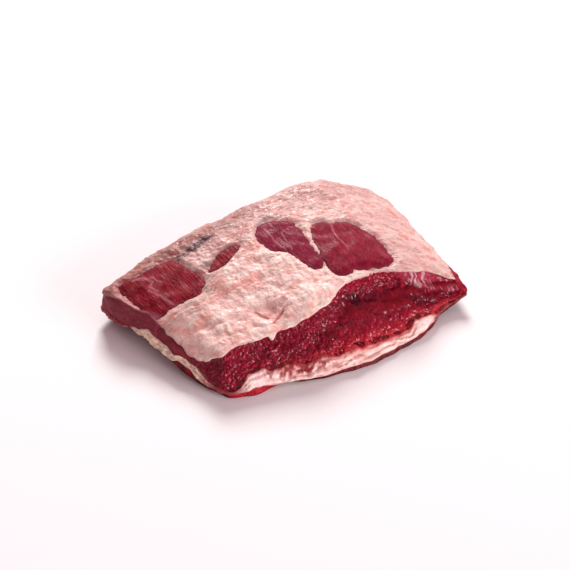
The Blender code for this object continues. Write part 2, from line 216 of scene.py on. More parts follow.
def uneven(a, b, c):
    swell = SWELL_SIZE * waves(a / SWELL_SCALE, b / SWELL_SCALE, c / SWELL_SCALE)
    return swell + LUMP_SIZE * waves(a / LUMP_SCALE, b / LUMP_SCALE, c / LUMP_SCALE)


def crease(x, y, w):
    away = np.hypot(x - CREASE_PLACE[0], y - CREASE_PLACE[1])
    return CREASE_DEPTH * w * np.exp(-((away / CREASE_WIDTH) ** 2))


def slab_point(u, v, w):
    """The place in millimetres for shares u along, v across and w up the slab."""
    u, v = pull_corners(u, v)
    shoulder = quarter_round((w - SHOULDER_START) / (1 - SHOULDER_START))
    foot = quarter_round(1 - w / FOOT_END)
    front = (
        along(FRONT_EDGE_Y, u)
        + along(RIM_SETBACK, u) * w
        + along(HOLLOW_DEPTH, u) * hump(w, *HOLLOW_AT)
        - along(BELLY_DEPTH, u) * hump(w, *BELLY_AT)
        + along(UNDERCUT_DEPTH, u) * np.clip(1 - w / UNDERCUT_REACH, 0, 1)
    )
    back = along(BACK_EDGE_Y, u) - BACK_SLOPE * w
    left = along(LEFT_EDGE_X, v) + along(LEFT_SETBACK, v) * w**2
    right = along(RIGHT_EDGE_X, v) + RIGHT_BULGE * np.sin(math.pi * w)
    x = left + (right - left) * u
    x = x + (LEFT_ROLL * shoulder + SIDE_FOLD * foot) * (1 - u) ** ROLL_POWER
    x = x - (RIGHT_ROLL * shoulder + SIDE_FOLD * foot) * u**ROLL_POWER
    y = front + (back - front) * v
    y = y + (FRONT_ROLL * shoulder + FRONT_FOLD * foot) * (1 - v) ** ROLL_POWER
    y = y - (BACK_ROLL * shoulder + BACK_FOLD * foot) * v**ROLL_POWER
    low = floor_height(u, v)
    high = top_height(u, v) - edge_dip(u, v)
    z = low + w * (high - low)
    z = z - crease(x, y, w)
    lifted = np.clip(z / UNEVEN_FADE_HEIGHT, 0, 1)
    return np.stack(
        [
            x + uneven(y, z, x),
            y + uneven(z, x, y),
            z + lifted * uneven(x, y, z),
        ],
        axis=-1,
    )


def slab_thickness(u, v):
    return top_height(u, v) - floor_height(u, v)


def border(front_profile, back_profile, left_profile, u, v):
    across = along(front_profile, u) * (1 - v) + along(back_profile, u) * v
    near_left = np.exp(-((u / LEFT_REACH) ** 2))
    return across + (along(left_profile, v) - across) * near_left


def seam_foot_share(u, v):
    return border(SEAM_FOOT_FRONT, SEAM_FOOT_BACK, SEAM_FOOT_LEFT, u, v)


def seam_top_share(u, v):
    return border(SEAM_TOP_FRONT, SEAM_TOP_BACK, SEAM_TOP_LEFT, u, v)


def floor_share(u, v):
    return np.zeros_like(u)


def fat_underside_share(u, v):
    """Where the hidden underside of the fat lies; it is a little deeper than the lean's top."""
    return 1 - (FAT_THICKNESS + FAT_BACK_EXTRA * v + 1.0) / slab_thickness(u, v)


# Repeatable noise

GRADIENTS = np.array(
    [p for p in itertools.product((-1, 0, 1), repeat=3) if sum(abs(c) for c in p) == 2], float
)


def scramble(lattice, seed):
    """A repeatable whole number for every place of a lattice."""
    x, y, z = (lattice[..., axis].astype(np.int64) for axis in range(3))
    h = (x * 374761393 + y * 668265263 + z * 1440670441 + seed * 974634777) & 0xFFFFFFFF
    h = ((h ^ (h >> 13)) * 1274126177) & 0xFFFFFFFF
    h = ((h ^ (h >> 15)) * 2246822519) & 0xFFFFFFFF
    return h ^ (h >> 16)


def chance(lattice, seed):
    return (scramble(lattice, seed) & 0xFFFFFF) / 0xFFFFFF


def noise(places, seed=0):
    """Smooth noise, mostly between -0.7 and 0.7, with features about 1 across."""
    base = np.floor(places).astype(np.int64)
    inside = places - base
    fade = inside**3 * (inside * (inside * 6 - 15) + 10)
    total = np.zeros(places.shape[:-1])
    for corner in itertools.product((0, 1), repeat=3):
        corner = np.array(corner)
        slope = GRADIENTS[scramble(base + corner, seed) % len(GRADIENTS)]
        share = np.prod(np.where(corner == 1, fade, 1 - fade), axis=-1)
        total += share * np.sum((inside - corner) * slope, axis=-1)
    return total


def layered_noise(places, octaves, seed=0):
    total, size = np.zeros(places.shape[:-1]), 1.0
    for octave in range(octaves):
        total += size * noise(places, seed + octave)
        places = places * 2.03
        size *= 0.5
    return total


def cells(places, seed=0):
    """Distances to the two nearest of scattered points, and a chance number of the nearest."""
    base = np.floor(places).astype(np.int64)
    first = np.full(places.shape[:-1], 9.0)
    second, tag = first.copy(), np.zeros(places.shape[:-1])
    for corner in itertools.product((-1, 0, 1), repeat=3):
        lattice = base + np.array(corner)
        points = lattice + np.stack([chance(lattice, seed + k) for k in (1, 2, 3)], axis=-1)
        away = np.linalg.norm(points - places, axis=-1)
        nearer = away < first
        second = np.where(nearer, first, np.minimum(second, away))
        tag = np.where(nearer, chance(lattice, seed + 4), tag)
        first = np.where(nearer, away, first)
    return first, second, tag


# Trimmed-open places

def smooth_outline(points, steps=4):
    """A closed smooth line through the points."""
    corners = np.array(points, float)
    before, after, beyond = (np.roll(corners, shift, axis=0) for shift in (1, -1, -2))
    line = []
    for k in range(steps):
        t = k / steps
        line.append(
            0.5
            * (
                2 * corners
                + (after - before) * t
                + (2 * before - 5 * corners + 4 * after - beyond) * t**2
                + (3 * corners - before - 3 * after + beyond) * t**3
            )
        )
    return np.stack(line, axis=1).reshape(-1, 2)


def outline_distance(x, y, points):
    """How far places lie outside a closed outline, negative inside, in millimetres."""
    line = smooth_outline(points)
    ends = np.roll(line, -1, axis=0)
    nearest = np.full(x.shape, 1e9)
    inside = np.zeros(x.shape, bool)
    for (ax, ay), (bx, by) in zip(line, ends):
        dx, dy = bx - ax, by - ay
        t = np.clip(((x - ax) * dx + (y - ay) * dy) / (dx * dx + dy * dy), 0, 1)
        nearest = np.minimum(nearest, np.hypot(x - ax - t * dx, y - ay - t * dy))
        crosses = (ay > y) != (by > y)
        height = by - ay if by != ay else 1e-9
        inside ^= crosses & (x < ax + (y - ay) * dx / height)
    return np.where(inside, -nearest, nearest)


def patch_distance(places):
    """The distance to the nearest trimmed-open place, with a ragged edge."""
    x, y = places[..., 0], places[..., 1]
    flat = places * (1, 1, 0)
    x = x + 1.6 * noise(flat / 6, 11) + 0.8 * noise(flat / 2.4, 12)
    y = y + 1.6 * noise(flat / 6, 13) + 0.8 * noise(flat / 2.4, 14)
    return np.minimum.reduce([outline_distance(x, y, points) for points in LEAN_PATCHES.values()])


# The slab's skin

# Each side's profile of the fat's edge gives way to the next within this share of the corner
EDGE_BLEND = 0.01
# The left front corner is rounded off more than the other edges, within these shares of the plan
CORNER_REACH_U, CORNER_REACH_V = 0.07, 0.1
EDGE_ROUNDS, CORNER_ROUNDS = 7, 45


def ring_shares():
    """Shares (u, v) once round the plan: front, right, back, left."""
    us, vs = np.arange(COLUMNS) / COLUMNS, np.arange(ROWS) / ROWS
    zero_u, zero_v = np.zeros(COLUMNS), np.zeros(ROWS)
    u = np.concatenate([us, zero_v + 1, 1 - us, zero_v])
    v = np.concatenate([zero_u, vs, zero_u + 1, 1 - vs])
    return u, v


def edge_nodes(columns, rows):
    """The nodes once round a grid, in the ring's order."""
    front = [(i, 0) for i in range(columns)]
    right = [(columns, j) for j in range(rows)]
    back = [(columns - i, rows) for i in range(columns)]
    left = [(0, rows - j) for j in range(rows)]
    return front + right + back + left


def top_index(ring_start, inner_start):
    """Vertex numbers of the top grid, whose edge is a ring row and whose inside follows elsewhere."""
    index = np.empty((COLUMNS + 1, ROWS + 1), int)
    i, j = np.transpose(edge_nodes(COLUMNS, ROWS))
    index[i, j] = ring_start + np.arange(RING)
    inside = index[1:-1, 1:-1]
    inside[:] = inner_start + np.arange(inside.size).reshape(inside.shape)
    return index


def fat_edge_thickness(u, v):
    """The fat's thickness along the ring, in millimetres: each side's profile, blended at the corners."""
    weights = [np.exp(-away / EDGE_BLEND) for away in (v, 1 - u, 1 - v, u)]
    sides = (
        along(FAT_EDGE_FRONT, u),
        along(FAT_EDGE_RIGHT, v),
        along(FAT_EDGE_BACK, u),
        along(FAT_EDGE_LEFT, v),
    )
    return sum(w * s for w, s in zip(weights, sides)) / sum(weights)


def ring_levels(u, v):
    """The height shares of the skin's levels at every place of the ring, with ragged borders."""
    flat = slab_point(u, v, np.full_like(u, 0.3)) * (1, 1, 0)
    seam_foot = seam_foot_share(u, v) * (1 + 0.35 * layered_noise(flat / 14, 4, 21))
    seam_top = seam_top_share(u, v) + 0.075 * layered_noise(flat / 16, 4, 25)
    seam_top = seam_top - 0.035 * hump(u, 0.6, 0.12) * (v == 0)
    seam_top = np.maximum(seam_top, seam_foot + 0.03)
    edge = fat_edge_thickness(u, v)
    edge = edge + np.minimum(0.55 * edge, 2.0) * layered_noise(flat / 12, 4, 31)
    fat_foot = 1 - np.maximum(edge, 0.6) / slab_thickness(u, v)
    borders = [np.zeros_like(u), seam_foot, seam_top, fat_foot, np.ones_like(u)]
    rows = [
        low + (high - low) * k / count
        for low, high, count in zip(borders, borders[1:], LAYER_LEVELS)
        for k in range(count)
    ]
    return np.stack([*rows, borders[-1]])


def grid_faces(index):
    """Quads over a grid of vertex numbers, facing up for x across the rows and y along them."""
    a, b, c, d = index[:-1, :-1], index[1:, :-1], index[1:, 1:], index[:-1, 1:]
    return np.stack([a, b, c, d], axis=-1).reshape(-1, 4)


def wall_faces(rows):
    """Quads of a band of ring rows, facing out."""
    index = np.arange(rows * RING).reshape(rows, RING)
    index = np.concatenate([index, index[:, :1]], axis=1)
    a, b, c, d = index[:-1, :-1], index[:-1, 1:], index[1:, 1:], index[1:, :-1]
    return np.stack([a, b, c, d], axis=-1).reshape(-1, 4)


def vertex_normals(places, quads):
    p = places[quads]
    face = np.cross(p[:, 2] - p[:, 0], p[:, 3] - p[:, 1])
    normal = np.zeros_like(places)
    for corner in range(4):
        for axis in range(3):
            normal[:, axis] += np.bincount(quads[:, corner], face[:, axis], len(places))
    return normal / np.maximum(np.linalg.norm(normal, axis=1), 1e-12)[:, None]


def relaxed(places, quads, rounds, held):
    """Rounds off the edges: each place that isn't held moves towards the mean of its neighbours."""
    pairs = np.concatenate([quads[:, [k, (k + 1) % 4]] for k in range(4)])
    here, there = np.concatenate([pairs, pairs[:, ::-1]]).T
    count = np.bincount(here, minlength=len(places))[:, None]
    for _ in range(rounds):
        total = np.stack([np.bincount(here, places[there, axis], len(places)) for axis in range(3)], axis=-1)
        places = np.where(held[:, None], places, 0.5 * places + 0.5 * total / count)
    return places


def corner_distance(u, v):
    """0 at the left front corner, 1 where its extra rounding ends."""
    return np.hypot(u / CORNER_REACH_U, v / CORNER_REACH_V)


class Skin:
    """The slab's outer surface: rows of the ring from the bottom up, then the inside of the top grid."""

    def __init__(self):
        u, v = ring_shares()
        self.ring_u, self.ring_v = u, v
        self.levels = ring_levels(u, v)
        rows, shape = LEVELS + 1, self.levels.shape
        walls = slab_point(np.broadcast_to(u, shape), np.broadcast_to(v, shape), self.levels)
        us, vs = np.meshgrid(np.arange(1, COLUMNS) / COLUMNS, np.arange(1, ROWS) / ROWS, indexing="ij")
        us, vs = us.ravel(), vs.ravel()
        self.inner_top = rows * RING + np.arange(len(us))
        places = np.concatenate([walls.reshape(-1, 3), slab_point(us, vs, np.ones(len(us)))])
        quads = np.concatenate([wall_faces(rows), grid_faces(top_index(LEVELS * RING, rows * RING))])
        on_the_table = np.arange(len(places)) < RING
        places = relaxed(places, quads, EDGE_ROUNDS, on_the_table)
        away = np.concatenate([np.tile(corner_distance(u, v), rows), corner_distance(us, vs)]) >= 1
        self.places = relaxed(places, quads, CORNER_ROUNDS, on_the_table | away)
        self.normals = vertex_normals(self.places, quads)


class Band:
    """A layer's rows of the sides, from the bottom up."""

    def __init__(self, skin, layer):
        low, high = BORDER_LEVELS[layer], BORDER_LEVELS[layer + 1]
        self.count = high - low + 1
        self.rows = np.arange(low * RING, (high + 1) * RING)
        self.places, self.normals = skin.places[self.rows], skin.normals[self.rows]
        self.u, self.v = np.tile(skin.ring_u, self.count), np.tile(skin.ring_v, self.count)
        self.w = skin.levels[low : high + 1].ravel()
        self.level = np.repeat(np.arange(self.count), RING) / (self.count - 1)
        self.front = smooth_step(-0.3, -0.55, self.normals[:, 1])

    def faces_with_top(self):
        """Quads of the band, and of a top grid whose inside follows the band's rows."""
        top = top_index((self.count - 1) * RING, len(self.rows))
        return np.concatenate([wall_faces(self.count), grid_faces(top)])


# Closing surfaces

INNER_COLUMNS, INNER_ROWS, INNER_INSET = 40, 28, 0.03


def turns(columns, rows):
    """How far round a grid's edge each of its nodes is, from 0 to 4, and the 4 that ends the round."""
    sides = enumerate((columns, rows, columns, rows))
    return [side + i / count for side, count in sides for i in range(count)] + [4]


def closing(share, ring_start, first, facing_up):
    """A coarse hidden surface inside a ring row: its places, quads and triangles."""
    us, vs = (INNER_INSET + (1 - 2 * INNER_INSET) * np.arange(n + 1) / n for n in (INNER_COLUMNS, INNER_ROWS))
    u, v = np.meshgrid(us, vs, indexing="ij")
    index = first + np.arange(u.size).reshape(u.shape)
    u, v = u.ravel(), v.ravel()
    places = slab_point(u, v, share(u, v))
    quads = grid_faces(index)
    inner = [int(index[node]) for node in edge_nodes(INNER_COLUMNS, INNER_ROWS)]
    outer_turns, inner_turns = turns(COLUMNS, ROWS), turns(INNER_COLUMNS, INNER_ROWS)
    triangles = []
    a = b = 0
    while a < RING or b < len(inner):
        here, there = ring_start + a % RING, inner[b % len(inner)]
        if b >= len(inner) or (a < RING and outer_turns[a + 1] <= inner_turns[b + 1]):
            triangles.append((here, ring_start + (a + 1) % RING, there))
            a += 1
        else:
            triangles.append((here, inner[(b + 1) % len(inner)], there))
            b += 1
    triangles = np.array(triangles)
    if not facing_up:
        quads, triangles = quads[:, ::-1], triangles[:, ::-1]
    return places, quads, triangles


def make_piece(name, places, quads, triangles, fields, hidden):
    """A smooth mesh object from arrays in millimetres, its fields 0 or as given on the hidden vertices."""
    places = (places - (*PLAN_MIDDLE, 0.0)) * SHRINK * MM
    mesh = bpy.data.meshes.new(name)
    mesh.from_pydata(places.tolist(), [], quads.tolist() + triangles.tolist())
    mesh.shade_smooth()
    for field_name, values in fields.items():
        rest = (0, len(places) - len(values))
        values = np.pad(values, rest, constant_values=hidden.get(field_name, 0))
        layer = mesh.attributes.new(field_name, "FLOAT", "POINT")
        layer.data.foreach_set("value", values.astype(np.float32))
    mesh.validate()
    piece = bpy.data.objects.new(name, mesh)
    bpy.context.scene.collection.objects.link(piece)
    return piece


# Marks and relief

def line_distance(x, y, points):
    """How far places lie from an open line through the points."""
    nearest = np.full(np.shape(x), 1e9)
    for (ax, ay), (bx, by) in zip(points, points[1:]):
        dx, dy = bx - ax, by - ay
        t = np.clip(((x - ax) * dx + (y - ay) * dy) / (dx * dx + dy * dy), 0, 1)
        nearest = np.minimum(nearest, np.hypot(x - ax - t * dx, y - ay - t * dy))
    return nearest


def stroke(p, points, width, wander=0.8):
    """1 on a line drawn in plan, falling to 0 beyond its width; the line wanders a little."""
    x = p[:, 0] + wander * noise(p / 5, 201)
    y = p[:, 1] + wander * noise(p / 5, 202)
    return np.exp(-((line_distance(x, y, points) / width) ** 2))


def spot(p, x, y, wide, deep, ragged=0.35):
    """1 at a place in plan, falling away over an ellipse with a ragged edge."""
    away = np.hypot((p[:, 0] - x) / wide, (p[:, 1] - y) / deep)
    return smooth_step(1.25, 0.45, away + ragged * layered_noise(p / 7, 3, 211))


FAT_CREASES = (
    ((-56, -40), (-54, -46), (-51, -52)),
    ((-37, -55), (-43, -58), (-49, -61)),
)
FAT_BLOOD_LINES = (
    ((-80, -4), (-74, -2), (-61, -4), (-48, -4), (-36, -4), (-29, -3)),
    ((-26, 40), (-19, 33), (-15, 22)),
    ((29, 73), (33, 66), (31, 60)),
    ((-124, -8), (-117, -16), (-113, -28)),
    ((44, -2), (40, -18), (33, -30)),
)
TAN_LINE = ((-150, 72), (-110, 80), (-70, 84), (-36, 78), (0, 92))
# Each bruise: its place, how wide and deep it is, and its strength
BRUISES = (
    ((-60, 67), 13, 5, 1.0),
    ((-46, 70), 10, 4, 0.85),
    ((-76, 63), 10, 4.5, 0.8),
    ((-60, 36), 11, 6, 0.55),
    ((-34, 44), 9, 5, 0.45),
    ((14, 60), 13, 4, 0.4),
    ((58, 31), 12, 4, 0.35),
)
# Each tendon: its line, width and strength
TENDONS = (
    (((-127, 64), (-119, 61), (-114, 50), (-119, 46), (-116, 37)), 1.5, 0.8),
    (((-121, 58), (-112, 55), (-108, 44)), 1.2, 0.6),
    (((-122, 43), (-116, 31), (-113, 18), (-111, 13)), 1.1, 0.8),
    (((5, 45), (4, 21), (4, 6)), 0.8, 0.85),
    (((15, 31), (11, 15), (10, 4)), 0.8, 0.9),
    (((14, 57), (13, 46)), 1.0, 1.0),
    (((68, 26), (61, 10), (58, -4), (60, -16)), 0.8, 0.75),
    (((88, 2), (90, -20), (88, -40)), 2.6, 0.15),
)


def membrane_folds(p):
    """How far forward of the left opening the fat lies, and where membranes fold along that border."""
    x, y = p[:, 0], p[:, 1]
    away = np.interp(x, (-132, -115, -94, -77, -62), (17, 15, 11, 18, 26)) - y + 2.5 * noise(p / 13, 231)
    side = smooth_step(-52, -74, x)
    return away, side * smooth_step(34, 16, away) * smooth_step(-7, 1, away)


def fat_relief(p):
    """Lobes, folds and wrinkles of the fat, in millimetres."""
    warp = np.stack([noise(p / 11, 41), noise(p / 11, 42), noise(p / 11, 43)], axis=-1) * 5
    lobed = np.exp(-(((p[:, 0] + 72) / 52) ** 2) - ((p[:, 1] + 42) / 36) ** 2)
    first, second, tag = cells((p + warp) / 15, 51)
    lobes = smooth_step(0, 0.7, second - first) * (0.7 + 0.3 * tag) - 1
    some = smooth_step(-0.1, 0.3, noise(p / 15, 55))
    slow = 1.5 * layered_noise(p / 17, 2, 77)
    wrinkles = 0.45 * layered_noise((p + 0.5 * warp) * (0.4, 1, 1) / 4.5, 2, 81)
    pebbles = 0.7 * layered_noise((p + 0.3 * warp) / 4.6, 2, 85)
    relief = 1.9 * lobes * (0.2 * some + 0.7 * lobed) + slow + (wrinkles + pebbles) * (1 - 0.65 * lobed)
    ragged = smooth_step(52, 66, p[:, 1] + 0.2 * p[:, 0] + 20) * smooth_step(-50, -75, p[:, 0])
    relief = relief + 1.3 * ragged * layered_noise(p / 5.5, 2, 89)
    away, folds = membrane_folds(p)
    ripple = layered_noise(np.stack([away / 4.2, p[:, 0] / 26, p[:, 2] / 30], axis=-1), 2, 87)
    relief = relief * (1 - 0.5 * folds) + 1.3 * folds * ripple
    for points in FAT_CREASES:
        relief -= 0.9 * stroke(p, points, 1.2) + 1.1 * stroke(p, points, 5)
    return relief


def cut_relief(p):
    """Torn bundles of fibres on a cut face; also the gaps between the bundles and each one's number."""
    warp = np.stack([noise(p / 6, 81), noise(p / 6, 82), noise(p / 6, 83)], axis=-1) * 2.4
    q = (p + warp) * (1, 0.85, 1.1)
    first, second, tag = cells(q / 4.5, 91)
    bundle = smooth_step(0, 0.4, second - first)
    small_first, small_second, small_tag = cells(q / 1.9, 95)
    strand = smooth_step(0, 0.5, small_second - small_first)
    crags = layered_noise(p * (1, 1, 1.2) / 11, 4, 101)
    relief = 1.8 * (bundle * (0.2 + 0.8 * tag) - 1)
    relief = relief + 0.9 * (strand * (0.2 + 0.8 * small_tag) - 1) + 2.0 * crags
    return relief, bundle, 0.5 * tag + 0.5 * small_tag


def fibre_relief(p):
    """Fine ridges of fibres running from front to back."""
    ridges = 0.3 * layered_noise(p * (1, 0.07, 1) / 1.7, 3, 111)
    return ridges + 0.7 * noise(p * (1, 0.2, 1) / 8, 115) + 0.5 * noise(p / 12, 117)


# The groove across the cut face, dented in and painted dark as shade, and the foot of the pale silverskin
# above it, along the slab
GROOVE_HEIGHT = ((0.4, 0.9), (0.5, 0.84), (0.58, 0.69), (0.68, 0.62), (0.8, 0.56), (0.9, 0.43), (1, 0.38))
SILVER_FOOT = ((0.7, 0.95), (0.75, 0.82), (0.81, 0.72), (0.89, 0.58), (0.95, 0.5), (1, 0.45))


def cut_marks(u, w, p):
    """Masks of the cut front: the groove, dented in and painted dark as shade, and the silverskin strip."""
    warp = 0.05 * layered_noise(p / 9, 3, 131)
    groove = np.exp(-(((w - along(GROOVE_HEIGHT, u) + warp) / 0.085) ** 2))
    groove = groove * smooth_step(0.44, 0.56, u) * smooth_step(1.0, 0.9, u)
    silver = smooth_step(-0.02, 0.03, w - along(SILVER_FOOT, u) + 0.5 * warp) * smooth_step(0.74, 0.8, u)
    return groove, silver


def seam_strands(p):
    """Layered strands of the seam that run along the slab."""
    return layered_noise(p * (0.13, 0.5, 1) / 2.6, 3, 141)


# Away from an opening the fat's cover grows from its thinnest by its rise; short of flush it dips (mm)
FAT_THINNEST, FAT_RISE, FAT_FLUSH = -0.75, 3.4, 2.2
# How deep the lean's top lies in an opening, how much deeper under the fat, and the rim's dip between them
LEAN_DEPTH, LEAN_COVERED_DEPTH, LEAN_RIM_DEPTH = 0.9, 3.0, 0.5


def build_fat(skin, open_distance):
    """The sheet of fat: its band of the sides, and a top that goes under the lean in the openings."""
    band = Band(skin, FAT)
    used = np.concatenate([band.rows, skin.inner_top])
    p, normals, away = skin.places[used], skin.normals[used], open_distance[used]
    level = np.concatenate([band.level, np.ones(len(skin.inner_top))])
    relief = fat_relief(p)
    full = smooth_step(-1, 6, away)
    cover = smooth_step(-2.0, 8.0, away) * FAT_RISE + FAT_THINNEST
    lift = np.minimum(cover - FAT_FLUSH, 0.0) + relief * full
    front_left = smooth_step(-78, -95, p[:, 1]) * smooth_step(-20, -60, p[:, 0])
    lift += 0.9 * np.sin(math.pi * np.clip(0.15 + 0.6 * level, 0, 1)) * front_left * full
    sides = np.maximum(smooth_step(0.97, 0.7, normals[:, 2]), smooth_step(0.6, 0.1, level))
    lift = lift + (np.maximum(0.9 + 0.8 * lift, 0.1) - lift) * sides * smooth_step(0.3, 0.7, full)
    lift[:RING] -= 0.9
    tan = stroke(p, TAN_LINE, 16, 4) + 0.5 * membrane_folds(p)[1]
    flushed = np.abs(1.6 * noise(p * (0.6, 1, 1) / 17, 221)) + 0.6 * noise(p / 5, 222)
    blood = sum(stroke(p, line, 2.4, 2.0) for line in FAT_BLOOD_LINES) + 0.8 * smooth_step(0.5, 0.9, flushed)
    bruise = sum(strength * spot(p, *place, wide, deep) for place, wide, deep, strength in BRUISES)
    fields = {
        # painted shade: darker in the low places of the relief and along the creases
        "painted_crease_shade": smooth_step(0.3, -2.2, relief) + 1.3 * sum(stroke(p, line, 1.5) for line in FAT_CREASES),
        "thin": smooth_step(5.5, 0.0, away),
        "blood": np.clip(blood, 0, 1),
        "tan": np.clip(tan, 0, 1),
        "bruise": np.clip(bruise, 0, 1),
        # painted shade: the fat is darkened towards the right and the back, where the key light falls on it
        # most strongly
        "painted_shade": np.maximum(smooth_step(10, 110, p[:, 0]), 1.2 * smooth_step(-10, 80, p[:, 1])),
        "sliver": smooth_step(-124, -131, p[:, 0]) * smooth_step(10, 4, away),
    }
    under, quads, triangles = closing(fat_underside_share, 0, len(used), False)
    places = np.concatenate([p + normals * lift[:, None], under])
    quads = np.concatenate([band.faces_with_top(), quads])
    return make_piece("fat_cap_soft", places, quads, triangles, fields, {})


def line_side(p):
    """How far places lie to the right of the line of fat between the middle and the right opening."""
    return p[:, 0] - np.interp(p[:, 1], (-30, -10, 10, 25, 50), (26, 31, 34, 37, 40))


def build_lean(skin, open_distance):
    """The lean: its band of the sides, and a top that rises into the trimmed-open places."""
    band = Band(skin, LEAN)
    p, normals, front = band.places, band.normals, band.front
    u, v, w, level = band.u, band.v, band.w, band.level
    relief, bundle, tag = cut_relief(p)
    groove, silver = (mark * front for mark in cut_marks(u, w, p))
    corner = smooth_step(0.3, 0.08, v) * smooth_step(-0.2, -0.5, normals[:, 0])
    rough = np.maximum(front * (1 - 0.5 * silver), 0.85 * corner)
    left = smooth_step(-0.3, -0.7, normals[:, 0])
    tip = smooth_step(0.955, 0.98, u) * smooth_step(0.2, 0.1, v)
    smooth = fibre_relief(p) + 0.5 * layered_noise(p / 9, 3, 121)
    lift = rough * (relief - 1.4 * groove) + (1 - rough) * smooth
    lift = lift * smooth_step(0, 0.05, np.minimum(level, 1 - level))
    lift = lift - left * smooth_step(0.3, 0.95, level)
    lift = lift - 0.9 * smooth_step(0.93, 1, level) * (1 - left)
    lift = lift + 2.4 * tip * hump(level, 0.3, 0.3)
    top, away = skin.places[skin.inner_top], open_distance[skin.inner_top]
    depth = smooth_step(-1.0, 7.0, away) * LEAN_COVERED_DEPTH + LEAN_DEPTH
    depth = depth + LEAN_RIM_DEPTH * smooth_step(-3.5, -0.5, away)
    top_places = top + skin.normals[skin.inner_top] * (fibre_relief(top) - depth)[:, None]
    tendon = np.zeros(len(top))
    for line, width, strength in TENDONS:
        tendon = np.maximum(tendon, strength * stroke(top, line, width, 1.0))
    rose = smooth_step(-30, -20, top[:, 0]) * (1 - 0.45 * smooth_step(-4, 8, line_side(top)))
    rim_lip = front * smooth_step(0.8, 0.92, w) * smooth_step(0.44, 0.52, u) * (1 - silver)
    film = 0.9 * left * smooth_step(0.9, 0.97, level) * smooth_step(0.4, 0.5, v)
    # Painted light: the lower bulge of the cut face and the lip of its rim are lightened as if lit; the right
    # tip gets a brighter red of its own
    painted_light_and_red_tip = front * smooth_step(0.42, 0.1, level) * smooth_step(0.36, 0.44, u)
    painted_light_and_red_tip = painted_light_and_red_tip + 0.6 * rim_lip + smooth_step(0.955, 0.985, u)
    none = np.zeros(len(top))
    fields = {
        "cut": (rough, none),
        "bundle": (bundle, none + 1),
        "tint": (tag, none + 0.5),
        "groove": (groove, none),
        "silver": (np.clip(film, 0, 1), tendon),
        "strip": (silver * smooth_step(0.985, 0.96, u), none),
        "stripes": (smooth_step(0.05, 0.35, noise(p * (1, 0.1, 0.12) / 2.4, 241)), none),
        # painted shade: the lean is darkened along the borders of the openings, where it runs under the fat's
        # edge
        "edge": (np.zeros(len(p)), smooth_step(-3.0, 0.5, away)),
        "rose": (rim_lip * 0.5, rose),
        "foot": (front * smooth_step(0.2, 0.0, level) * smooth_step(0.02, 0.1, u), none),
        "painted_light_and_red_tip": (np.clip(painted_light_and_red_tip, 0, 1), none),
        # painted shade: the left end, which faces away from the key light, is greyed towards mauve
        "painted_shade": (left * (1 - 0.8 * corner), none),
    }
    fields = {name: np.concatenate(side_and_top) for name, side_and_top in fields.items()}
    under, quads, triangles = closing(seam_top_share, 0, len(p) + len(top), False)
    places = np.concatenate([p + normals * lift[:, None], top_places, under])
    quads = np.concatenate([band.faces_with_top(), quads])
    return make_piece("lean_muscle", places, quads, triangles, fields, {})


def layer_between(name, band, foot, head, lift, fields, hidden):
    """A layer with both borders hidden: its sides, lifted where they are free, and two closing surfaces."""
    free = smooth_step(0, 0.18, band.level) * smooth_step(0, 0.18, 1 - band.level)
    sides = band.places + band.normals * (lift * free)[:, None]
    sides[:, 2] = np.maximum(sides[:, 2], 0)
    under, under_quads, under_triangles = closing(foot, 0, len(sides), False)
    last_row, next_free = (band.count - 1) * RING, len(sides) + len(under)
    over, over_quads, over_triangles = closing(head, last_row, next_free, True)
    places = np.concatenate([sides, under, over])
    quads = np.concatenate([wall_faces(band.count), under_quads, over_quads])
    triangles = np.concatenate([under_triangles, over_triangles])
    return make_piece(name, places, quads, triangles, fields, hidden)


def build_seam(skin):
    """The seam of fat: split strands, a nub at its right end and patches of torn lean."""
    band = Band(skin, SEAM)
    p, u, v, w, level, front = band.places, band.u, band.v, band.w, band.level, band.front
    left = smooth_step(-0.3, -0.6, band.normals[:, 0]) * (1 - front)
    strands = seam_strands(p)
    sheet = level * (2.0 + 1.2 * smooth_step(0.55, 0.35, u)) + 0.9 * noise(p * (1, 1, 0.3) / 16, 161)
    sheet = sheet - np.floor(sheet)
    split = hump(sheet, 0, 0.13) + hump(sheet, 1, 0.09)
    nub = front * np.exp(-(((u - 0.775) / 0.035) ** 2) - ((w - 0.2) / 0.09) ** 2)
    wedge = front * np.exp(-(((u - 0.12) / 0.06) ** 2))
    lift = 2.2 * strands + 0.8 * layered_noise(p / 7, 2, 151) + 0.6
    lift = lift + 2.8 * nub + 0.8 * wedge - 1.3 * split + 0.9 * sheet
    pale = np.clip(nub + 0.7 * wedge, 0, 1)
    patches = front * smooth_step(0.1, 0.15, u) * smooth_step(0.42, 0.34, u) * smooth_step(0.2, 0.6, level)
    patches = patches * smooth_step(-0.2, 0.05, layered_noise(p / 5, 3, 171))
    covered = smooth_step(0.815, 0.85, u) + left * smooth_step(0.68, 0.74, v)
    covered = covered + smooth_step(0.09, 0.02, np.hypot(u, 0.5 * v))
    covered = np.clip(np.maximum(covered, smooth_step(0.86, 0.97, level) * front), 0, 1)
    warm = front * smooth_step(0.38, 0.46, u) * smooth_step(0.76, 0.72, u) * smooth_step(0.55, 0.95, level)
    fields = {
        # painted shade: the low places between the strands are darkened
        "strand": smooth_step(0.25, -0.35, strands),
        "split": np.maximum(split, 1.3 * patches) * (1 - pale),
        "warm": warm,
        "beige": left * (1 - covered),
        "pale": pale,
        "level": level,
        "lean": np.maximum(covered, 0.75 * patches),
    }
    return layer_between("seam_fat_soft", band, seam_foot_share, seam_top_share, lift, fields, {"lean": 1})


